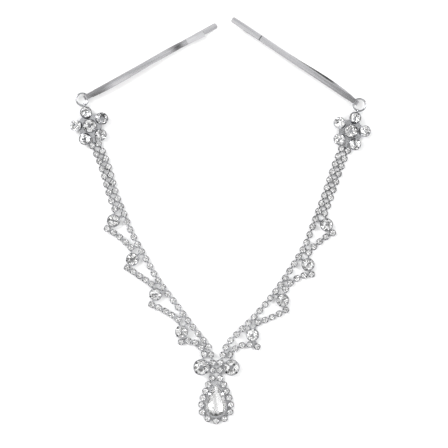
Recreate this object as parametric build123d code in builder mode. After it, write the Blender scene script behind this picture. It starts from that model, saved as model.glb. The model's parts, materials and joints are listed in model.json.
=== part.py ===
# Rhinestone hair drape on two sprung hair grips, laid flat on a table with the stones up.
# Millimetres, +Z up, origin under the middle of the whole piece, +Y towards the grips.
import os
from math import atan2, cos, degrees, hypot, radians, sin

from build123d import *

os.makedirs("parts", exist_ok=True)

# Small chain cups (2.1 mm stones) and the links between them
CUP_R = 1.15
CUP_H = 1.20
LINK_W = 0.55
LINK_T = 0.18
LINK_Z = 0.45
LINK_PLAY = 0.06
ROW_GAP = 2.36
PAIRS = 9
PANEL_CUPS = (5, 5, 5, 6)
SWAG_CUPS = 5

# Larger cups
CHATON_R = 2.30
CHATON_H = 1.75
BOW_R = 2.85
BOW_H = 1.95
PETAL_R = 2.05
PETAL_H = 1.55
HEART_R = 2.45
HEART_H = 1.70

# Flower
PETALS = 5
PETAL_AT = 4.65
PETAL_TILT = 15
PETAL_LIFT = 1.05
HEART_LIFT = 1.25
FIRST_PAIR = 6.90
EYE_AT = 7.62
EYE_R = 0.62
EYE_WIRE = 0.18

# Jump ring
RING_R = 2.17
RING_WIRE = 0.33
RING_Z = 1.20
RING_FROM_FLOWER = 9.84
RING_SPLIT = 4

# Hair grip: a strip bent double round the ring
STRIP_T = 0.55
STRIP_W = 2.05
BEND_W = 1.70
BEND_IN = 0.65
BEND_X = -0.30
ROOT_X = 0.90
KNUCKLE_PLAY = 0.05
LONG_TIP = 52.3
SHORT_TIP = 46.9
PINCH_X = 40.2
PINCH_GAP = 0.05

# Lay of the two arms: centre line of the inner row, then chatons, swags and grips, in mm
LEFT = dict(
    side=-1,
    flower=(-45.22, 33.54),
    ring_way=105.8,
    chain_way=286.0,
    grip_way=29.0,
    row=[(-40.9, 24.9), (-37.9, 16.6), (-35.4, 7.9), (-33.2, 2.6), (-31.0, -3.0),
         (-28.3, -8.4), (-25.5, -13.3), (-20.9, -21.4), (-15.8, -28.2),
         (-10.4, -35.5), (-5.1, -42.2), (-3.2, -44.7), (-2.3, -47.45)],
    chatons=[(-36.85, 0.0), (-30.1, -13.7), (-21.9, -26.05), (-12.7, -39.4)],
    swags=[[(-39.15, -2.8), (-34.3, -6.1), (-30.7, -9.6)],
           [(-32.05, -16.7), (-27.6, -19.6), (-23.4, -22.5)],
           [(-23.4, -29.7), (-18.0, -32.3), (-14.0, -35.1)],
           [(-12.9, -43.0), (-7.8, -43.3), (-4.75, -47.3)]],
    bow=(-5.7, -51.9),
    tilts=(-4, -4, -8, 11, -14),
    long_low=True,
    short_bow=-0.55,
    short_bow_at=9.0,
    short_drift=-0.70,
)
RIGHT = dict(
    side=1,
    flower=(47.24, 31.73),
    ring_way=71.7,
    chain_way=251.7,
    grip_way=146.1,
    row=[(41.0, 18.2), (37.6, 8.1), (34.9, 1.0), (33.6, -2.4), (31.5, -7.9),
         (27.3, -15.1), (22.2, -22.9), (17.0, -29.6), (10.8, -36.4),
         (4.5, -42.7), (2.8, -45.2), (1.85, -47.6)],
    chatons=[(38.65, -1.45), (32.05, -15.55), (23.1, -28.2), (12.4, -40.45)],
    swags=[[(40.85, -4.35), (35.4, -8.1), (32.35, -11.35)],
           [(33.4, -19.0), (28.0, -20.5), (24.15, -24.3)],
           [(24.25, -31.65), (19.5, -34.1), (14.25, -36.15)],
           [(14.1, -44.7), (8.3, -44.3), (4.45, -47.5)]],
    bow=(4.95, -52.0),
    tilts=(5, 5, -1, -13, 21),
    long_low=False,
    short_bow=0.80,
    short_bow_at=11.0,
    short_drift=0.0,
)
TO_ORIGIN = -1.0
MID_X = -0.42
CENTRE_CUPS = [(MID_X - 1.3, -50.35), (MID_X + 1.3, -50.35), (MID_X - 1.3, -52.95), (MID_X + 1.3, -52.95)]

# Pendant
PEAR_X = -0.50
PEAR_TIP = -57.0
PEAR_R = 3.85
PEAR_Y = -65.9
PEAR_WALL = 0.25
PEAR_H = 2.0
FRAME_HALF = [(1.38, -55.85), (2.75, -58.1), (3.75, -60.45), (4.65, -62.75), (5.2, -65.2),
              (4.98, -67.8), (2.95, -70.2)]
FRAME_END = -71.0
PENDANT_TILT = 0


def turned(origin, way, along, across=0.0):
    """The point a distance along a heading from an origin, and across to its left."""
    c, s = cos(radians(way)), sin(radians(way))
    return (origin[0] + along * c - across * s, origin[1] + along * s + across * c)


def heading(a, b):
    return degrees(atan2(b[1] - a[1], b[0] - a[0]))


def apart(a, b):
    return hypot(b[0] - a[0], b[1] - a[1])


def halfway(a, b):
    return ((a[0] + b[0]) / 2, (a[1] + b[1]) / 2)


def spaced(edge, count):
    """Evenly spaced points on a curve, each with its heading."""
    found = []
    for i in range(count):
        s = edge.length * i / (count - 1)
        p = edge.position_at(s, position_mode=PositionMode.LENGTH)
        t = edge.tangent_at(s, position_mode=PositionMode.LENGTH)
        found.append((p.X, p.Y, degrees(atan2(t.Y, t.X))))
    return found


def lay_out(arm):
    """Places for every cup of one arm: (x, y, heading) each."""
    first_mid = turned(arm["flower"], arm["chain_way"], FIRST_PAIR)
    first = turned(first_mid, arm["chain_way"], 0, -arm["side"] * ROW_GAP / 2)
    rows = PAIRS + sum(PANEL_CUPS)
    with BuildLine(mode=Mode.PRIVATE) as line:
        row = Spline(first, *arm["row"])
    main = spaced(row, rows)
    outer = []
    for x, y, way in main[:PAIRS]:
        outer.append((*turned((x, y), way, 0, arm["side"] * ROW_GAP), way))
    outer[0] = (*turned(first_mid, arm["chain_way"], 0, arm["side"] * ROW_GAP / 2), arm["chain_way"])
    swags = []
    for start, middle, end in arm["swags"]:
        with BuildLine(mode=Mode.PRIVATE) as line:
            swag = ThreePointArc(start, middle, end)
        swags.append(spaced(swag, SWAG_CUPS))
    return main, outer, swags


# END OF LAYOUT


def cup(name_r, height, floor, claw_w, claws=4, wall=0.15, crown=0.42, table=0.60):
    """A claw cup standing on z = 0: floor, wall and claws bent over the stone."""
    seat = name_r - wall - 0.03
    tip = seat * 0.80
    over = height - 0.02 + (seat - tip) / (seat - seat * table) * crown
    with BuildPart() as claw:
        with BuildSketch(Plane.XZ):
            Polygon((name_r - wall + 0.02, height - 0.3), (name_r + 0.05, height - 0.4),
                    (name_r + 0.05, height + 0.1), (tip + 0.06, over + 0.2), (tip, over + 0.06),
                    (name_r - wall + 0.02, height + 0.06), align=None)
        extrude(amount=claw_w / 2, both=True)
    with BuildPart() as made:
        with BuildSketch(Plane.XZ):
            Polygon((0, 0), (name_r - 0.1, 0), (name_r, 0.1), (name_r, height), (name_r - wall, height),
                    (name_r - wall, floor), (0, floor), align=None)
        revolve(axis=Axis.Z)
        with PolarLocations(0, claws, start_angle=180 / claws):
            add(claw.part)
    return made.part


def stone(name_r, height, floor, wall=0.15, crown=0.42, table=0.60, sides=8):
    """A faceted round stone seated in a cup of the same sizes."""
    seat = name_r - wall - 0.03
    low = floor + 0.06
    with BuildPart() as made:
        with BuildSketch(Plane.XY.offset(low)):
            RegularPolygon(seat * 0.22, sides)
        with BuildSketch(Plane.XY.offset(height - 0.12)):
            RegularPolygon(seat, sides)
        with BuildSketch(Plane.XY.offset(height - 0.04)):
            RegularPolygon(seat, sides)
        with BuildSketch(Plane.XY.offset(height - 0.04 + crown)):
            RegularPolygon(seat * table, sides)
        loft(ruled=True)
    return made.part


def spot(place, z=0.0):
    """A place (x, y, heading) as a location."""
    return Location((place[0], place[1], z), (0, 0, place[2] if len(place) > 2 else 0))


def link(a, ra, b, rb):
    """Where a link from cup a towards cup b sits, and its length."""
    length = apart(a, b) - ra - rb + 0.1 - LINK_PLAY
    way = heading(a, b)
    x, y = turned((a[0], a[1]), way, ra - 0.1 + length / 2)
    return Location((x, y, LINK_Z), (0, 0, way)), length


def settings(places, links, body):
    """Copies of one cup, each with its links soldered to its wall."""
    with BuildPart() as made:
        with Locations(*[spot(p) for p in places]):
            add(body)
        for where, length in links:
            with Locations(where):
                Box(length, LINK_W, LINK_T)
    return made


def stones(places, body):
    with BuildPart() as made:
        with Locations(*[spot(p) for p in places]):
            add(body)
    return made


def keep(made, name):
    """Exports one piece, shifted so that the origin is under the middle of the whole."""
    piece = made.part.moved(Location((TO_ORIGIN, 0, 0)))
    piece.label = name
    export_step(piece, "parts/" + name + ".step")
    box = piece.bounding_box()
    print(f"{name}: {len(piece.solids())} solids, z {box.min.Z:.2f} to {box.max.Z:.2f}")


def hinge(name, pos, way, z=LINK_Z):
    """Prints the hinge line that the record states."""
    x, y = pos[0] + TO_ORIGIN, pos[1]
    print(f"HINGE {name} {x:.4f} {y:.4f} {z:.4f} {cos(radians(way)):.6f} {sin(radians(way)):.6f} 0")


# Cups and stones, each size made once
small_cup = cup(CUP_R, CUP_H, 0.25, 0.36)
small_stone = stone(CUP_R, CUP_H, 0.25)
chaton_cup = cup(CHATON_R, CHATON_H, 0.3, 0.55, wall=0.2, crown=0.75)
chaton_stone = stone(CHATON_R, CHATON_H, 0.3, wall=0.2, crown=0.75)
bow_cup = cup(BOW_R, BOW_H, 0.3, 0.6, wall=0.22, crown=0.9)
bow_stone = stone(BOW_R, BOW_H, 0.3, wall=0.22, crown=0.9)
petal_cup = cup(PETAL_R, PETAL_H, 0.3, 0.5, wall=0.18, crown=0.65)
petal_stone = stone(PETAL_R, PETAL_H, 0.3, wall=0.18, crown=0.65)
heart_cup = cup(HEART_R, HEART_H, 0.3, 0.55, wall=0.2, crown=0.75)
heart_stone = stone(HEART_R, HEART_H, 0.3, wall=0.2, crown=0.75)


def petal_plane(arm, k):
    """The tilted plane under one petal."""
    a = radians(arm["ring_way"] + 360 / PETALS * k)
    t = radians(PETAL_TILT)
    x, y = turned(arm["flower"], degrees(a), PETAL_AT)
    return Plane(origin=(x, y, PETAL_LIFT), x_dir=(cos(t) * cos(a), cos(t) * sin(a), -sin(t)),
                 z_dir=(sin(t) * cos(a), sin(t) * sin(a), cos(t)))


def flower(arm, tag, first_pair, next_pair):
    petals = [petal_plane(arm, k) for k in range(PETALS)]
    fx, fy = arm["flower"]
    heart = Location((fx, fy, HEART_LIFT), (0, 0, arm["ring_way"]))
    eye = turned(arm["flower"], arm["ring_way"], EYE_AT)
    with BuildPart() as base:
        with Locations((fx, fy, 0.6)):
            Cylinder(4.2, 0.7)
        with Locations((fx, fy, 1.07)):
            Cylinder(1.6, 0.3)
        with Locations(*[p.location for p in petals]):
            with Locations((-0.1, 0, -0.18)):
                Box(2.6, 1.6, 0.3)
        with Locations(Location((*turned(arm["flower"], arm["chain_way"], 4.9), 0.55), (0, 0, arm["chain_way"]))):
            Box(2.1, 0.8, 0.4)
        with Locations(Location((*turned(arm["flower"], arm["ring_way"], 5.85), 0.3), (0, 0, arm["ring_way"]))):
            Box(3.8, 0.7, 0.34)
        with Locations(Location((*eye, 0.4), (0, 0, arm["ring_way"]))):
            Box(0.36, 0.36, 0.4)
        with Locations(Plane(origin=(*eye, RING_Z), x_dir=(0, 0, 1),
                             z_dir=(-sin(radians(arm["ring_way"])), cos(radians(arm["ring_way"])), 0)).location):
            Torus(EYE_R, EYE_WIRE)
    with BuildPart() as cups:
        with Locations(*[p.location for p in petals]):
            add(petal_cup)
        with Locations(heart):
            add(heart_cup)
        with Locations(*[spot(p) for p in first_pair]):
            add(small_cup)
        for a, b in zip(first_pair, next_pair):
            where, length = link(a, CUP_R, b, CUP_R)
            with Locations(where):
                Box(length, LINK_W, LINK_T)
    with BuildPart() as gems:
        with Locations(*[p.location for p in petals]):
            add(petal_stone)
        with Locations(heart):
            add(heart_stone)
        with Locations(*[spot(p) for p in first_pair]):
            add(small_stone)
    keep(base, f"{tag}_flower_base")
    keep(cups, f"{tag}_flower_cups")
    keep(gems, f"{tag}_flower_stones")


def jump_ring(arm, tag):
    """Split ring lying flat; the cut is on the side away from grip and flower."""
    centre = turned(arm["flower"], arm["ring_way"], RING_FROM_FLOWER)
    away = (arm["grip_way"] + arm["ring_way"] + 180) / 2 + 180
    with BuildPart() as ring:
        with Locations(Location((*centre, RING_Z), (0, 0, away + RING_SPLIT / 2))):
            Torus(RING_R, RING_WIRE, major_angle=360 - RING_SPLIT)
    keep(ring, f"{tag}_jump_ring")
    print(f"HINGE {tag}_ring_turn {centre[0] + TO_ORIGIN:.4f} {centre[1]:.4f} {RING_Z} 0 0 1")
    return centre


def long_prong():
    """Long prong with the bend, in the grip's own frame: +X to the tips, short prong on +Z."""
    mid = BEND_IN + STRIP_T / 2
    with BuildPart() as made:
        with BuildSketch(Plane.XZ):
            with BuildLine() as centre:
                Line((ROOT_X, mid), (BEND_X, mid))
                ThreePointArc((BEND_X, mid), (BEND_X - mid, 0), (BEND_X, -mid))
                Line((BEND_X, -mid), (LONG_TIP, -mid))
            trace(line_width=STRIP_T)
            with Locations((ROOT_X, mid)):
                Circle(STRIP_T / 2 + KNUCKLE_PLAY, mode=Mode.SUBTRACT)
            with Locations((PINCH_X, -mid - STRIP_T / 2)):
                RegularPolygon(0.16, 4, mode=Mode.SUBTRACT)
        extrude(amount=STRIP_W, both=True)
        with BuildSketch(Plane.XY):
            with BuildLine():
                Polyline((-3, -BEND_W / 2), (1.4, -BEND_W / 2), (3.2, -STRIP_W / 2), (LONG_TIP, -STRIP_W / 2),
                         (LONG_TIP, STRIP_W / 2), (3.2, STRIP_W / 2), (1.4, BEND_W / 2), (-3, BEND_W / 2), close=True)
            make_face()
            fillet(vertices().group_by(Axis.X)[-1], 0.75)
        extrude(amount=4, both=True, mode=Mode.INTERSECT)
    return made.part


def short_prong(bow, bow_at, drift):
    """Short prong: springs from a round root in the bend, pinches the long one, then flares."""
    mid = BEND_IN + STRIP_T / 2
    pinch = -BEND_IN + PINCH_GAP + STRIP_T / 2
    with BuildPart() as made:
        with BuildSketch(Plane.XZ):
            with BuildLine() as centre:
                Spline((ROOT_X, mid), (10, mid + 0.02), (26, mid - 0.42), (PINCH_X, pinch),
                       tangents=((1, 0), (1, -0.09)))
            trace(line_width=STRIP_T)
            with BuildLine() as flare:
                Line((PINCH_X, pinch), (SHORT_TIP, mid))
            trace(line_width=STRIP_T)
            with Locations((ROOT_X, mid), (PINCH_X, pinch)):
                Circle(STRIP_T / 2)
        extrude(amount=STRIP_W, both=True)
        with BuildSketch(Plane.XY):
            with BuildLine() as plan:
                Spline((1.6, bow * 0.25), (bow_at, bow), (bow_at + 15, bow * 0.25), (PINCH_X, drift * 0.2),
                       (SHORT_TIP, drift))
            trace(line_width=STRIP_W)
            with BuildLine():
                Polyline((ROOT_X - 1, -BEND_W / 2), (1.65, bow * 0.25 - STRIP_W / 2 + 0.02),
                         (1.65, bow * 0.25 + STRIP_W / 2 - 0.02), (ROOT_X - 1, BEND_W / 2), close=True)
            make_face()
        extrude(amount=4, both=True, mode=Mode.INTERSECT)
    return made.part


def grip(arm, tag, ring_centre):
    """Hair grip hooked round the ring wire, long prong down on the left arm and up on the right."""
    way = arm["grip_way"]
    at = turned(ring_centre, way, RING_R)
    up = 1 if arm["long_low"] else -1
    frame = Plane(origin=(*at, RING_Z), x_dir=(cos(radians(way)), sin(radians(way)), 0), z_dir=(0, 0, up))
    with BuildPart() as long:
        with Locations(frame.location):
            add(long_prong())
    with BuildPart() as short:
        with Locations(frame.location):
            add(short_prong(arm["short_bow"], arm["short_bow_at"], arm["short_drift"]))
    keep(long, f"{tag}_grip_long_prong")
    keep(short, f"{tag}_grip_short_prong")
    hinge(f"{tag}_grip_swing", at, way + 90, RING_Z)
    root = turned(at, way, ROOT_X)
    hinge(f"{tag}_grip_spring", root, way + 90, RING_Z + up * (BEND_IN + STRIP_T / 2))


def arm_parts(arm, tag, centre_cup):
    """Everything of one arm from the grip down to the last swag panel."""
    main, outer, swags = lay_out(arm)
    flower(arm, tag, [main[0], outer[0]], [main[1], outer[1]])
    ring_centre = jump_ring(arm, tag)
    grip(arm, tag, ring_centre)
    hinge(f"{tag}_flower_hinge", halfway(main[0], main[1]), heading(main[0], main[1]) + 90)
    for letter, first, last in (("a", 1, 3), ("b", 4, 6), ("c", 7, 8)):
        places, links = [], []
        for i in range(first, last + 1):
            places += [main[i], outer[i]]
            links.append(link(main[i], CUP_R, main[i + 1], CUP_R))
            if i < PAIRS - 1:
                links.append(link(outer[i], CUP_R, outer[i + 1], CUP_R))
            else:
                links.append(link(outer[i], CUP_R, arm["chatons"][0], CHATON_R))
        keep(settings(places, links, small_cup), f"{tag}_strand_{letter}_cups")
        keep(stones(places, small_stone), f"{tag}_strand_{letter}_stones")
        if last < PAIRS - 1:
            way = heading(main[last], main[last + 1])
            hinge(f"{tag}_strand_{letter}_hinge", halfway(main[last], main[last + 1]), way + 90)
    start = PAIRS
    for k, count in enumerate(PANEL_CUPS):
        way = heading(main[start - 1], main[start])
        hinge(f"{tag}_panel_{k + 1}_top_hinge", halfway(main[start - 1], main[start]), way + 90 + arm["tilts"][k])
        row = main[start:start + count]
        swag = swags[k]
        chaton = (*arm["chatons"][k], heading(arm["chatons"][k], swag[0][:2]))
        after = main[start + count] if k < 3 else centre_cup
        big = (arm["chatons"][k + 1], CHATON_R) if k < 3 else (arm["bow"], BOW_R)
        links = [link(a, CUP_R, b, CUP_R) for a, b in zip(row, row[1:])]
        links += [link(a, CUP_R, b, CUP_R) for a, b in zip(swag, swag[1:])]
        links.append(link(row[-1], CUP_R, after, CUP_R))
        links.append(link(swag[-1], CUP_R, *big))
        if apart(swag[-1], row[-1]) > 2 * CUP_R + LINK_PLAY + 0.02:
            links.append(link(row[-1], CUP_R, swag[-1], CUP_R))
        keep(settings(row + swag, links, small_cup), f"{tag}_panel_{k + 1}_cups")
        side = [link(chaton, CHATON_R, swag[0], CUP_R), link(chaton, CHATON_R, row[0], CUP_R)]
        keep(settings([chaton], side, chaton_cup), f"{tag}_panel_{k + 1}_chaton")
        with BuildPart() as gems:
            with Locations(*[spot(p) for p in row + swag]):
                add(small_stone)
            with Locations(spot(chaton)):
                add(chaton_stone)
        keep(gems, f"{tag}_panel_{k + 1}_stones")
        start += count
    way = heading(main[-1], centre_cup)
    hinge(f"{tag}_bow_hinge", halfway(main[-1], centre_cup), way + 90 + arm["tilts"][4])


def bow_parts(frame_top):
    cups = [(*p, -90) for p in CENTRE_CUPS]
    bows = [(*LEFT["bow"], 0), (*RIGHT["bow"], 180)]
    links = [link(cups[0], CUP_R, cups[2], CUP_R), link(cups[1], CUP_R, cups[3], CUP_R)]
    links += [link(cups[0], CUP_R, cups[1], CUP_R), link(cups[2], CUP_R, cups[3], CUP_R)]
    links += [link(cups[2], CUP_R, frame_top[0], CUP_R), link(cups[3], CUP_R, frame_top[1], CUP_R)]
    keep(settings(cups, links, small_cup), "bow_small_cups")
    side = [link(bows[0], BOW_R, cups[0], CUP_R), link(bows[1], BOW_R, cups[1], CUP_R)]
    keep(settings(bows, side, bow_cup), "bow_large_cups")
    with BuildPart() as gems:
        with Locations(*[spot(p) for p in cups]):
            add(small_stone)
        with Locations(*[spot(p) for p in bows]):
            add(bow_stone)
    keep(gems, "bow_stones")
    hinge("pendant_hinge", halfway(halfway(cups[2], frame_top[0]), halfway(cups[3], frame_top[1])), 0)


def pear_outline():
    """Pear in plan, point towards the bow."""
    with BuildLine(mode=Mode.PRIVATE) as line:
        left = ThreePointArc((0, PEAR_TIP), (-2.62, -61.4), (-PEAR_R, PEAR_Y))
        end = ThreePointArc((-PEAR_R, PEAR_Y), (0, PEAR_Y - PEAR_R), (PEAR_R, PEAR_Y))
        right = ThreePointArc((PEAR_R, PEAR_Y), (2.62, -61.4), (0, PEAR_TIP))
    return left, end, right


def pear_points(shrink, flank=5, round_end=9):
    """Corner points of the pear stone, pulled in from the outline towards its middle."""
    left, end, right = pear_outline()
    found = [left @ (i / flank) for i in range(flank)]
    found += [end @ (i / round_end) for i in range(round_end)]
    found += [right @ (i / flank) for i in range(flank)]
    middle = Vector(0, PEAR_Y + 1.2)
    return [tuple(middle + (p - middle) * shrink)[:2] for p in found]


def pendant_parts(frame):
    links = [link(a, CUP_R, b, CUP_R) for a, b in zip(frame, frame[1:])]
    places = [(*p, heading(p, (PEAR_X, PEAR_Y))) for p in frame]
    inward = []
    for p in frame:
        if p[1] < PEAR_Y:
            where, length = link(p, CUP_R, (PEAR_X, PEAR_Y), PEAR_R + 0.02)
            inward.append((where, length))
    keep(settings(places, links + inward, small_cup), "pendant_frame_cups")
    keep(stones(places, small_stone), "pendant_frame_stones")
    left, end, right = pear_outline()
    seat = PEAR_H - 0.45
    with BuildPart(Plane.XY) as collet:
        with Locations((PEAR_X, 0, 0)):
            with BuildSketch(Plane.XY):
                with BuildLine():
                    add([left, end, right])
                make_face()
            extrude(amount=PEAR_H - 0.35)
            with BuildSketch(Plane.XY.offset(0.3)):
                with BuildLine():
                    add([left, end, right])
                make_face()
                offset(amount=-PEAR_WALL, kind=Kind.INTERSECTION)
            extrude(amount=PEAR_H, mode=Mode.SUBTRACT)
    claws_at = [(PEAR_X, PEAR_TIP, 90)]
    for edge, u, side in ((left, 0.5, -1), (right, 0.5, 1), (end, 0.12, -1), (end, 0.88, 1)):
        p, t = edge @ u, edge % u
        claws_at.append((PEAR_X + p.X, p.Y, degrees(atan2(t.Y, t.X)) - 90))
    with BuildPart() as claw:
        with BuildSketch(Plane.XZ):
            Polygon((-0.18, 1.0), (0.1, 1.1), (0.1, 1.95), (-0.75, 2.5), (-0.85, 2.36), (-0.18, 1.84), align=None)
        extrude(amount=0.3, both=True)
    with BuildPart() as setting:
        with Locations((PEAR_X, 0, 0)):
            add(collet.part)
        with Locations(*[spot(p) for p in claws_at]):
            add(claw.part)
    with BuildPart() as gem:
        for height, shrink in ((0.38, 0.25), (PEAR_H - 0.50, 0.915), (PEAR_H - 0.38, 0.915), (PEAR_H + 0.55, 0.55)):
            with BuildSketch(Plane.XY.offset(height)):
                Polygon(*pear_points(shrink), align=None)
        loft(ruled=True)
    with BuildPart() as placed:
        with Locations((PEAR_X, 0, 0)):
            add(gem.part)
    keep(setting, "pear_setting")
    keep(placed, "pear_stone")


FRAME = [(PEAR_X - a, b) for a, b in FRAME_HALF] + [(PEAR_X, FRAME_END)]
FRAME += [(PEAR_X + a, b) for a, b in reversed(FRAME_HALF)]
arm_parts(LEFT, "left", CENTRE_CUPS[0])
arm_parts(RIGHT, "right", CENTRE_CUPS[1])
bow_parts((FRAME[0], FRAME[-1]))
pendant_parts(FRAME)
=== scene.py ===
# %% [markdown]
# # A rhinestone hair drape, laid flat on a pale table
# The CAD model is the frame for everything here: stamped cups, wire, sprung strip and the places of
# all the stones. This lesson gives the stones their real cut, gives each metal its finish, and
# lights the piece softly from all around, as small jewellery is usually shown.

import json
import math

import bpy
import numpy as np
from mathutils import Matrix, Vector


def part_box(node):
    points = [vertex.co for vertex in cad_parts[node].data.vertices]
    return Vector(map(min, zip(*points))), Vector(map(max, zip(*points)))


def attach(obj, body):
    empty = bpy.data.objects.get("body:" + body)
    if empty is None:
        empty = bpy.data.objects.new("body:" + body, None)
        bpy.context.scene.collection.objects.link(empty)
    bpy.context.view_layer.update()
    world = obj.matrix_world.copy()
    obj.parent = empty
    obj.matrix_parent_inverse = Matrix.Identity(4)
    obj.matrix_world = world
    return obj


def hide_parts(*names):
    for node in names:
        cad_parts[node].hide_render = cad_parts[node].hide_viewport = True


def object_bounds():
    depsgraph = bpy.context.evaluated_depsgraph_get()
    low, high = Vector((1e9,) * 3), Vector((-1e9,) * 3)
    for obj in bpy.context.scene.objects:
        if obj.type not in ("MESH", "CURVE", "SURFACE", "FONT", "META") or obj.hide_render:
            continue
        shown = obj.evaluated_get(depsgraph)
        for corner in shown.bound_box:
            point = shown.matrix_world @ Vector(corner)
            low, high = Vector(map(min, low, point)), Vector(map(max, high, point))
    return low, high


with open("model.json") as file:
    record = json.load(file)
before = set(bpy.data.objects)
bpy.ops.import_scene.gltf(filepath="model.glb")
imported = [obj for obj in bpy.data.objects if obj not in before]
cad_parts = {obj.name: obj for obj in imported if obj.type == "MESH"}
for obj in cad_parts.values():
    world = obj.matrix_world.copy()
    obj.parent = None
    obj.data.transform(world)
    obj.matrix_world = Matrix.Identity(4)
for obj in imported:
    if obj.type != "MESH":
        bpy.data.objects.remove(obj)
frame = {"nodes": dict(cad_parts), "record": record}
cad_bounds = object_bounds()
nodes = frame["nodes"]
MM = 0.001
print("nodes", len(nodes), "size in mm", [round((b - a) / MM, 1) for a, b in zip(*cad_bounds)])

# %% [markdown]
# Three small helpers are used all the way through. Colours are written as the hex values a maker
# would read off a swatch and turned to linear light once. Every shader node is added by one
# function. Operators act on whatever is selected, so each step begins with nothing selected.


# %% Helpers
def linear(hex_colour):
    """sRGB hex, such as "D9DADC", to a linear RGBA colour."""
    channels = [int(hex_colour[i:i + 2], 16) / 255 for i in (0, 2, 4)]
    return (*[c / 12.92 if c <= 0.04045 else ((c + 0.055) / 1.055) ** 2.4 for c in channels], 1.0)


def add_node(tree, kind, settings=None, links=None):
    """Adds a node: settings go to its properties or input sockets, links to its input sockets."""
    node = tree.nodes.new(kind)
    for key, value in (settings or {}).items():
        if isinstance(key, str) and hasattr(node, key):
            setattr(node, key, value)
        else:
            node.inputs[key].default_value = value
    for key, socket in (links or {}).items():
        tree.links.new(socket, node.inputs[key])
    return node


def nothing_selected():
    if bpy.context.mode != "OBJECT":
        bpy.ops.object.mode_set(mode="OBJECT")
    bpy.ops.object.select_all(action="DESELECT")


def new_material(name):
    """An empty material and its output node."""
    material = bpy.data.materials.new(name)
    material.use_nodes = True
    material.node_tree.nodes.clear()
    return material, material.node_tree, add_node(material.node_tree, "ShaderNodeOutputMaterial")


nothing_selected()
print("helpers ready")

# %% [markdown]
# ## Bright plating on stamped brass
# The cups, links and flower backs are stamped brass under a thin bright plating, the colour of
# rhodium. Barrel plating rounds the surface a little and leaves faint waviness and tiny pits, so the
# roughness wanders between 0.07 and 0.16 and a bump of a few microns breaks up the reflections. A
# metal keeps the default IOR, because its colour sets how it reflects. The backs of the flowers and
# of the pear's setting get a lighter copy of the plating, painted light that lifts the shade between
# the petals, and the ring wire is a little darker and smoother.
#
# The hair grips are drawn strip, so their fine lines run along the strip, and painted streak
# highlights in light and dark tones run with them: the same pattern, turned to the way each grip
# points and pulled out forty times along it.


# %% Plated brass, plated wire and plated spring strip
def plated(name, colour, dull, rough_low, rough_high, grain_mm, bump, way=0.0, drawn=1.0):
    """Bright plating: two close tones, wandering roughness and a fine uneven surface.

    A drawn value above 1 stretches the pattern that many times along the way, in degrees from +X.
    """
    material, tree, out = new_material(name)
    where = add_node(tree, "ShaderNodeTexCoord")
    turned = add_node(tree, "ShaderNodeMapping", {"Rotation": (0, 0, math.radians(-way))},
                      {"Vector": where.outputs["Object"]})
    pulled = add_node(tree, "ShaderNodeMapping", {"Scale": (1 / drawn, 1, 1)},
                      {"Vector": turned.outputs["Vector"]})
    patches = add_node(tree, "ShaderNodeTexNoise", {"Scale": 1 / (grain_mm * 6 * MM), "Detail": 3.0},
                       {"Vector": pulled.outputs["Vector"]})
    grain = add_node(tree, "ShaderNodeTexNoise", {"Scale": 1 / (grain_mm * MM), "Detail": 4.0},
                     {"Vector": pulled.outputs["Vector"]})
    tone = add_node(tree, "ShaderNodeMix", {"data_type": "RGBA", 6: linear(colour), 7: linear(dull)},
                    {0: patches.outputs["Fac"]})
    rough = add_node(tree, "ShaderNodeMapRange", {"From Min": 0.3, "From Max": 0.7, "To Min": rough_low,
                                                  "To Max": rough_high}, {"Value": patches.outputs["Fac"]})
    uneven = add_node(tree, "ShaderNodeBump", {"Strength": bump, "Distance": 0.00002},
                      {"Height": grain.outputs["Fac"]})
    metal = add_node(tree, "ShaderNodeBsdfPrincipled", {"Metallic": 1.0},
                     {"Base Color": tone.outputs[2], "Roughness": rough.outputs["Result"],
                      "Normal": uneven.outputs["Normal"]})
    tree.links.new(metal.outputs["BSDF"], out.inputs["Surface"])
    return material


plated_brass = plated("plated_brass", "B6B7BA", "9B9CA0", 0.07, 0.16, 0.35, 0.15)
# painted light: a lighter copy of the brass plating, to lift the shade between the petals
plated_back_painted_light = plated("plated_back_painted_light", "DADBDD", "C9CACD", 0.10, 0.20, 0.40, 0.12)
plated_wire = plated("plated_wire", "B6B7B9", "A0A1A4", 0.06, 0.14, 0.30, 0.15)
GRIP_WAYS = {"left": 29.0, "right": 146.1}  # the way from each bend to its tips, in degrees from +X
DRAWN = 40.0
plated_strips = {}
# the light and dark tones pulled along each strip are painted streak highlights; its bump and roughness
# are the real drawing lines
for side, way in GRIP_WAYS.items():
    plated_strips[side] = plated(f"{side}_plated_strip", "D6D6D8", "A8A8AB", 0.05, 0.12, 0.22, 0.10,
                                 way, DRAWN)
print("metals", plated_brass.name, plated_back_painted_light.name, plated_wire.name,
      [strip.name for strip in plated_strips.values()])

# %% [markdown]
# The CAD settings are already the right shape, so they stay. Only their material changes.

# %% Give the metal nodes their finish
for name, node in nodes.items():
    if name.endswith("stones") or name == "pear_stone":
        continue
    if "grip" in name:
        finish = plated_strips[name.split("_")[0]]
    # the flower backs and the pear's setting take the lighter copy, painted light against the shade
    # between the petals
    elif name.endswith("flower_base") or name == "pear_setting":
        finish = plated_back_painted_light
    else:
        finish = plated_wire if "jump_ring" in name else plated_brass
    node.data.materials.clear()
    node.data.materials.append(finish)
print("metal nodes", sum(1 for n in nodes if "stone" not in n))

# %% [markdown]
# ## Foil-backed cut glass
# A rhinestone is clear glass, cut with a flat table, a ring of crown facets, a thin girdle and a
# pointed pavilion. The pavilion carries a silver foil, which sends the light back out through the
# crown, and that is why a cheap stone sparkles. So each stone here has two materials: clear glass
# above the girdle, with the IOR of lead crystal, and a bright mirror below it.


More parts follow.
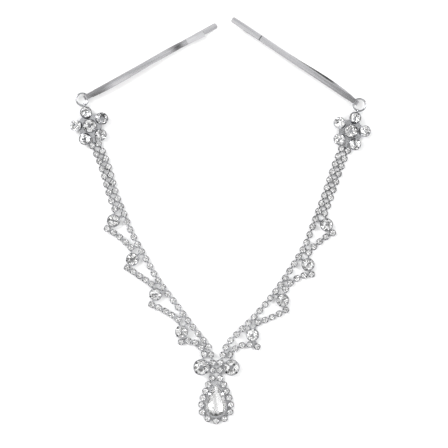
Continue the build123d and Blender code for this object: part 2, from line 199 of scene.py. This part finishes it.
# %% Glass and foil
def glass(name, colour, rough):
    """Clear crystal glass, with the slight surface haze of machine polishing."""
    material, tree, out = new_material(name)
    where = add_node(tree, "ShaderNodeTexCoord")
    haze = add_node(tree, "ShaderNodeTexNoise", {"Scale": 1 / (0.8 * MM), "Detail": 2.0},
                    {"Vector": where.outputs["Object"]})
    spread = add_node(tree, "ShaderNodeMapRange", {"To Min": 0.0, "To Max": rough},
                      {"Value": haze.outputs["Fac"]})
    body = add_node(tree, "ShaderNodeBsdfPrincipled",
                    {"Base Color": linear(colour), "IOR": 1.56, "Transmission Weight": 1.0},
                    {"Roughness": spread.outputs["Result"]})
    tree.links.new(body.outputs["BSDF"], out.inputs["Surface"])
    return material


def foil(name, colour, rough):
    """Silver foil fused to the back of a stone, a little crinkled."""
    material, tree, out = new_material(name)
    where = add_node(tree, "ShaderNodeTexCoord")
    crinkle = add_node(tree, "ShaderNodeTexNoise", {"Scale": 1 / (0.6 * MM), "Detail": 2.0},
                       {"Vector": where.outputs["Object"]})
    creased = add_node(tree, "ShaderNodeBump", {"Strength": 0.2, "Distance": 0.00003},
                       {"Height": crinkle.outputs["Fac"]})
    mirror = add_node(tree, "ShaderNodeBsdfPrincipled",
                      {"Base Color": linear(colour), "Metallic": 1.0, "Roughness": rough},
                      {"Normal": creased.outputs["Normal"]})
    tree.links.new(mirror.outputs["BSDF"], out.inputs["Surface"])
    return material


crystal_glass = glass("crystal_glass", "FBFBFB", 0.02)
silver_foil = foil("silver_foil", "F2F2F2", 0.04)
pear_glass = glass("pear_glass", "FCFCFC", 0.03)
pear_foil = foil("pear_foil", "FAFAFA", 0.22)
print("stone materials ready")

# %% [markdown]
# ## Cutting a round stone
# A stone cutter starts from a round blank and grinds one flat after another. The same is done here:
# a many-sided cylinder is the blank, and each facet is a bisect that throws away the glass outside
# one plane. The blank has a girdle radius of 1, so one cut stone can be scaled to every seat.


# %% The cutting tool
def cut_ring(count, turn, tilt, reach, height):
    """Grinds a ring of facets: tilt from level in degrees, through points at reach and height."""
    lean = math.radians(tilt)
    for k in range(count):
        a = math.radians(turn) + 2 * math.pi * k / count
        bpy.ops.mesh.select_all(action="SELECT")
        bpy.ops.mesh.bisect(plane_co=(reach * math.cos(a), reach * math.sin(a), height),
                            plane_no=(math.sin(lean) * math.cos(a), math.sin(lean) * math.sin(a),
                                      math.cos(lean)),
                            use_fill=True, clear_outer=True)


def cut_table(height, down=False):
    """Grinds one level flat."""
    bpy.ops.mesh.select_all(action="SELECT")
    bpy.ops.mesh.bisect(plane_co=(0, 0, height), plane_no=(0, 0, -1 if down else 1),
                        use_fill=True, clear_outer=True)


def finish_stone(name, girdle_low, top, bottom, merge=0.002):
    """Flat facets, outward faces, glass above the girdle and foil below it."""
    bpy.ops.mesh.select_all(action="SELECT")
    bpy.ops.mesh.remove_doubles(threshold=merge)
    bpy.ops.mesh.normals_make_consistent(inside=False)
    bpy.ops.object.mode_set(mode="OBJECT")
    stone = bpy.context.object
    stone.name = name
    stone.data.materials.append(top)
    stone.data.materials.append(bottom)
    for face in stone.data.polygons:
        face.use_smooth = False
        face.material_index = 1 if face.center.z < girdle_low else 0
    print(name, len(stone.data.polygons), "facets")
    return stone


# %% [markdown]
# The small chain stones are only two millimetres across and are made by the thousand, with eight
# crown facets and a table. The larger ones have a full brilliant cut: table, stars, kites and upper
# girdle facets above, mains below.

# %% Cut the small stone and the brilliant
SMALL_GIRDLE = 0.06
nothing_selected()
bpy.ops.mesh.primitive_cylinder_add(vertices=16, radius=1.0, depth=2.4, location=(0, 0, 0))
bpy.ops.object.mode_set(mode="EDIT")
cut_table(0.40)
cut_ring(8, 22.5, 38, 0.985, SMALL_GIRDLE)
cut_ring(8, 0, 24, 0.62, 0.345)
cut_ring(8, 0, 180 - 41, 0.985, -0.02)
cut_table(-0.80, down=True)
small_cut = finish_stone("small_cut", -0.05, crystal_glass, silver_foil)

nothing_selected()
bpy.ops.mesh.primitive_cylinder_add(vertices=32, radius=1.0, depth=2.4, location=(0, 0, 0))
bpy.ops.object.mode_set(mode="EDIT")
cut_table(0.36)
cut_ring(16, 11.25, 44, 0.99, 0.04)
cut_ring(8, 0, 35, 0.965, 0.055)
cut_ring(8, 22.5, 22, 0.60, 0.335)
cut_ring(16, 11.25, 180 - 43, 0.99, -0.02)
cut_ring(8, 0, 180 - 40, 0.965, -0.04)
cut_table(-0.80, down=True)
brilliant_cut = finish_stone("brilliant_cut", -0.05, crystal_glass, silver_foil)

# %% [markdown]
# ## Finding the seats
# Each CAD stone node holds one plain solid per seat. A seat's place, lean, turn and size are read
# from that solid: the largest flat that faces up is the table, and the widest ring is the girdle.


# %% Read the seats from the CAD stones
SNAP_MM = 0.004  # corners closer than this, in mm, are one corner
LEVEL = 0.01 * MM  # corners within this of the top or the rim belong to it


def seats(node):
    """For each solid in a node: middle of its girdle, axis, the way to one corner, and radius."""
    mesh = node.data
    points = np.empty(len(mesh.vertices) * 3)
    mesh.vertices.foreach_get("co", points)
    points = points.reshape(-1, 3)
    keys, inverse = np.unique(np.round(points / (SNAP_MM * MM)).astype(int), axis=0, return_inverse=True)
    inverse = inverse.ravel()
    parent = list(range(len(keys)))

    def root(i):
        while parent[i] != i:
            parent[i] = parent[parent[i]]
            i = parent[i]
        return i

    for face in mesh.polygons:
        corners = [root(int(inverse[v])) for v in face.vertices]
        for c in corners[1:]:
            parent[root(c)] = root(corners[0])
    spots = keys * SNAP_MM * MM
    islands = {}
    for i in range(len(keys)):
        islands.setdefault(root(i), []).append(i)
    flats = {key: {} for key in islands}
    for face in mesh.polygons:
        sums = flats[root(int(inverse[face.vertices[0]]))]
        key = tuple(round(c, 2) for c in face.normal)
        if key[2] > 0.6:
            sums[key] = sums.get(key, 0.0) + face.area
    found = []
    for key, members in islands.items():
        corners = spots[members]
        axis = np.array(max(flats[key], key=flats[key].get))
        axis = axis / np.linalg.norm(axis)
        along = corners @ axis
        top = corners[along > along.max() - LEVEL].mean(axis=0)
        offset = corners - top
        offset = offset - np.outer(offset @ axis, axis)
        reach = np.linalg.norm(offset, axis=1)
        rim = reach > reach.max() - LEVEL
        middle = top + axis * ((corners[rim] - top) @ axis).mean()
        corner = Vector(offset[np.argmax(reach)])
        found.append((Vector(middle), Vector(axis), corner, float(reach.max())))
    return found


stone_nodes = sorted(n for n in nodes if n.endswith("stones"))
all_seats = {n: seats(nodes[n]) for n in stone_nodes}
print("seats", sum(len(s) for s in all_seats.values()))

# %% [markdown]
# Every seat gets its own copy of the cut stone, scaled to the seat and turned with it. No two
# stones are pressed in quite alike, so each is also turned a little about its own axis. The copies
# of one node are joined, and the joined piece takes the place of that node and rides on its body.


# %% Set the stones
body_groups = frame["record"]["behaviour"]["bodies"]
body_with = {node: body for body, members in body_groups.items() for node in members}
SMALL_LIMIT = 1.1 * MM  # seats up to this radius take the small cut
FIT = 0.985  # a stone is a little smaller than its seat
rng = np.random.default_rng(7)


def seated_copy(seat, name):
    """One cut stone, set level in its seat with a small random turn and tilt."""
    middle, axis, side, radius = seat
    cut = small_cut if radius < SMALL_LIMIT else brilliant_cut
    turn, lean_x, lean_y = rng.uniform(-0.4, 0.4), rng.normal(0, 0.05), rng.normal(0, 0.05)
    x = side.normalized()
    y = axis.cross(x)
    basis = Matrix((x, y, axis)).transposed().to_4x4()
    place = Matrix.Translation(middle) @ basis @ Matrix.Rotation(turn, 4, "Z")
    place = place @ Matrix.Rotation(lean_x, 4, "X") @ Matrix.Rotation(lean_y, 4, "Y")
    copy = bpy.data.objects.new(name, cut.data.copy())
    bpy.context.scene.collection.objects.link(copy)
    copy.data.transform(place @ Matrix.Scale(radius * FIT, 4))
    return copy


for node_name in stone_nodes:
    nothing_selected()
    copies = [seated_copy(seat, "set_stone") for seat in all_seats[node_name]]
    for copy in copies:
        copy.select_set(True)
    bpy.context.view_layer.objects.active = copies[0]
    bpy.ops.object.join()
    piece = bpy.context.object
    piece.name = node_name.replace("stones", "crystals")
    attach(piece, body_with[node_name])
    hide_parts(node_name)
for master in (small_cut, brilliant_cut):
    bpy.data.objects.remove(master)
print("stone pieces", len(stone_nodes))

# %% [markdown]
# ## The pear stone
# A pear cut is one outline repeated: small and high for the table, wider and lower down to the
# girdle, then in again below for the foiled back. Its outline is a half circle at the round end and
# two long flanks that meet at the point. The corners of all the rings are placed first, and a convex
# hull then stretches flat facets over them, like a skin. Each ring uses every second corner, in
# turns, so the facets come out as the triangles and kites of a real cut.

# %% The pear's outline and its rings of corners
low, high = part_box("pear_stone")
half_wide = (high[0] - low[0]) / 2
pear_mid = Vector(((low[0] + high[0]) / 2, low[1] + half_wide, 0))
tip_y = high[1] - pear_mid.y
girdle_z = high[2] - 0.93 * MM
FLANK_STEPS = 7
FLANK_CURVE = 1.6  # 1 is a straight flank, more is fuller
outline = [(half_wide * math.cos(a), half_wide * math.sin(a))
           for a in (math.pi + math.pi * k / 12 for k in range(13))]
flank = [(half_wide * (1 - t ** FLANK_CURVE), tip_y * t)
         for t in (k / FLANK_STEPS for k in range(1, FLANK_STEPS))]
outline += flank + [(0.0, tip_y)] + [(-x, y) for x, y in reversed(flank)]
MIDDLE_Y = 0.15 * tip_y
# scale of the outline, height in mm, first corner, step
RINGS = ((0.52, 0.80, 0, 2), (0.79, 0.52, 1, 2), (1.00, 0.06, 0, 1), (1.00, -0.06, 0, 1),
         (0.66, -0.38, 0, 2), (0.30, -0.60, 1, 2), (0.06, -0.70, 0, 2))
print("pear outline", len(outline), "corners")

# %% Stretch the facets over the rings
nothing_selected()
corners = [(x * scale, MIDDLE_Y + (y - MIDDLE_Y) * scale, z * MM)
           for scale, z, first, step in RINGS for x, y in outline[first::step]]
bpy.ops.mesh.primitive_circle_add(vertices=len(corners), radius=1.0, fill_type="NOTHING",
                                  location=(0, 0, 0))
pear = bpy.context.object
for vertex, place in zip(pear.data.vertices, corners):
    vertex.co = place
bpy.ops.object.mode_set(mode="EDIT")
bpy.ops.mesh.select_all(action="SELECT")
bpy.ops.mesh.delete(type="EDGE_FACE")
bpy.ops.mesh.select_all(action="SELECT")
bpy.ops.mesh.convex_hull()
bpy.ops.mesh.select_all(action="SELECT")
bpy.ops.mesh.dissolve_limited(angle_limit=math.radians(0.5))
pear = finish_stone("pear_crystal", -0.07 * MM, pear_glass, pear_foil, merge=0.004 * MM)
pear.data.transform(Matrix.Translation((pear_mid.x, pear_mid.y, girdle_z)))
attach(pear, body_with["pear_stone"])
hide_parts("pear_stone")
print("pear seated at", [round(c / MM, 2) for c in (*pear_mid[:2], girdle_z)])

# %% [markdown]
# ## Table, light and camera
# A plain pale table top of matt paint, just under the lowest metal. Its two whites are so close that
# they only keep it from looking like a void.

# %% Table top
nothing_selected()
bpy.ops.mesh.primitive_plane_add(size=3.0, location=(0, 0, cad_bounds[0][2] - 0.02 * MM))
table = bpy.context.object
table.name = "table_top"
table_paint, tree, out = new_material("pale_table")
where = add_node(tree, "ShaderNodeTexCoord")
mottle = add_node(tree, "ShaderNodeTexNoise", {"Scale": 40.0, "Detail": 3.0},
                  {"Vector": where.outputs["Object"]})
tone = add_node(tree, "ShaderNodeMix", {"data_type": "RGBA", 6: linear("FAFAFA"), 7: linear("F6F6F6")},
                {0: mottle.outputs["Fac"]})
surface = add_node(tree, "ShaderNodeBsdfPrincipled", {"Roughness": 0.6}, {"Base Color": tone.outputs[2]})
tree.links.new(surface.outputs["BSDF"], out.inputs["Surface"])
table.data.materials.append(table_paint)
print("table at", round(table.location.z / MM, 2), "mm")

# %% [markdown]
# The light is a soft tent of many panes, some bright, some grey and a few nearly black. Glass and
# bright metal only show their shape by what they reflect, and under an even white sky they would
# vanish. The panes get darker low down, which draws a darker edge round every cup.

# %% The panes of the soft tent
world = bpy.data.worlds.new("soft_tent")
bpy.context.scene.world = world
world.use_nodes = True
tree = world.node_tree
tree.nodes.clear()
out = add_node(tree, "ShaderNodeOutputWorld")
where = add_node(tree, "ShaderNodeTexCoord")
split = add_node(tree, "ShaderNodeSeparateXYZ", links={"Vector": where.outputs["Generated"]})


def grey(level):
    """A linear grey for the lamps and panes."""
    return (level, level, level, 1.0)


def grey_steps(ramp, steps):
    """Fills a colour ramp with greys, given as pairs of place and level in rising order."""
    ramp.elements[0].position, ramp.elements[0].color = steps[0][0], grey(steps[0][1])
    ramp.elements[-1].position, ramp.elements[-1].color = steps[-1][0], grey(steps[-1][1])
    for at, level in steps[1:-1]:
        ramp.elements.new(at).color = grey(level)


panes = add_node(tree, "ShaderNodeTexVoronoi", {"Scale": 8.0}, {"Vector": where.outputs["Generated"]})
shade = add_node(tree, "ShaderNodeSeparateColor", links={"Color": panes.outputs["Color"]})
levels = add_node(tree, "ShaderNodeValToRGB", links={"Fac": shade.outputs["Red"]})
levels.color_ramp.interpolation = "CONSTANT"
grey_steps(levels.color_ramp, ((0.0, 0.08), (0.27, 0.45), (0.40, 0.95), (0.60, 1.25), (0.80, 2.3)))
low_down = add_node(tree, "ShaderNodeMapRange", {"From Min": 0.05, "From Max": 0.60, "To Min": 0.12},
                    {"Value": split.outputs["Z"]})
walls = add_node(tree, "ShaderNodeMix", {"data_type": "RGBA", "blend_type": "MULTIPLY", 0: 1.0},
                 {6: levels.outputs["Color"], 7: low_down.outputs["Result"]})
print("pane levels", len(levels.color_ramp.elements))

# %% [markdown]
# Straight above hangs a thinner veil with soft patches. It is what the flat strips of the grips and
# the tables of the stones see, so it decides how light they look and where a dark patch falls.

# %% The veil overhead
drift = add_node(tree, "ShaderNodeTexNoise", {"Scale": 16.0, "Detail": 0.0},
                 {"Vector": where.outputs["Generated"]})
veil = add_node(tree, "ShaderNodeValToRGB", links={"Fac": drift.outputs["Fac"]})
grey_steps(veil.color_ramp, ((0.42, 0.04), (0.45, 0.66), (0.54, 0.84), (0.62, 1.35)))
overhead = add_node(tree, "ShaderNodeMapRange", {"From Min": 0.955, "From Max": 0.965},
                    {"Value": split.outputs["Z"]})
panels = add_node(tree, "ShaderNodeMix", {"data_type": "RGBA"},
                  {0: overhead.outputs["Result"], 6: walls.outputs[2], 7: veil.outputs["Color"]})
sky = add_node(tree, "ShaderNodeBackground", {"Strength": 1.0}, {"Color": panels.outputs[2]})
tree.links.new(sky.outputs["Background"], out.inputs["Surface"])
print("world", world.name)

# %% [markdown]
# Two large soft panels at the sides whiten the table and give the metal a direction.


# %% Soft panels

def soft_light(name, place, size, power):
    """A large soft panel facing the middle of the table."""
    light = bpy.data.lights.new(name, "AREA")
    light.energy, light.size = power, size
    holder = bpy.data.objects.new(name, light)
    holder.location = place
    holder.rotation_euler = (-Vector(place)).to_track_quat("-Z", "Y").to_euler()
    bpy.context.scene.collection.objects.link(holder)
    return holder


soft_light("left_panel", (-0.9, 0.5, 0.9), 0.7, 12)
soft_light("right_panel", (1.0, 0.2, 0.8), 0.7, 8)
print("panels", [light.name for light in bpy.data.lights])

# %% [markdown]
# The camera looks straight down on the drape from 0.9 m, with a long lens that frames 159 mm.

# %% Camera, looking straight down
FRAME_WIDTH = 159.0 * MM
CAMERA_HEIGHT = 0.9
camera_data = bpy.data.cameras.new("camera")
camera_data.sensor_width = 36
camera_data.lens = 36 * CAMERA_HEIGHT / FRAME_WIDTH
camera_data.clip_start = 0.01
camera = bpy.data.objects.new("camera", camera_data)
bpy.context.scene.collection.objects.link(camera)
camera.location = (1.31 * MM, -1.17 * MM, CAMERA_HEIGHT)
bpy.context.scene.camera = camera
# Standard view keeps a white table white, as in catalogue work
bpy.context.scene.view_settings.view_transform = "Standard"
print("lens", round(camera_data.lens, 1), "mm")
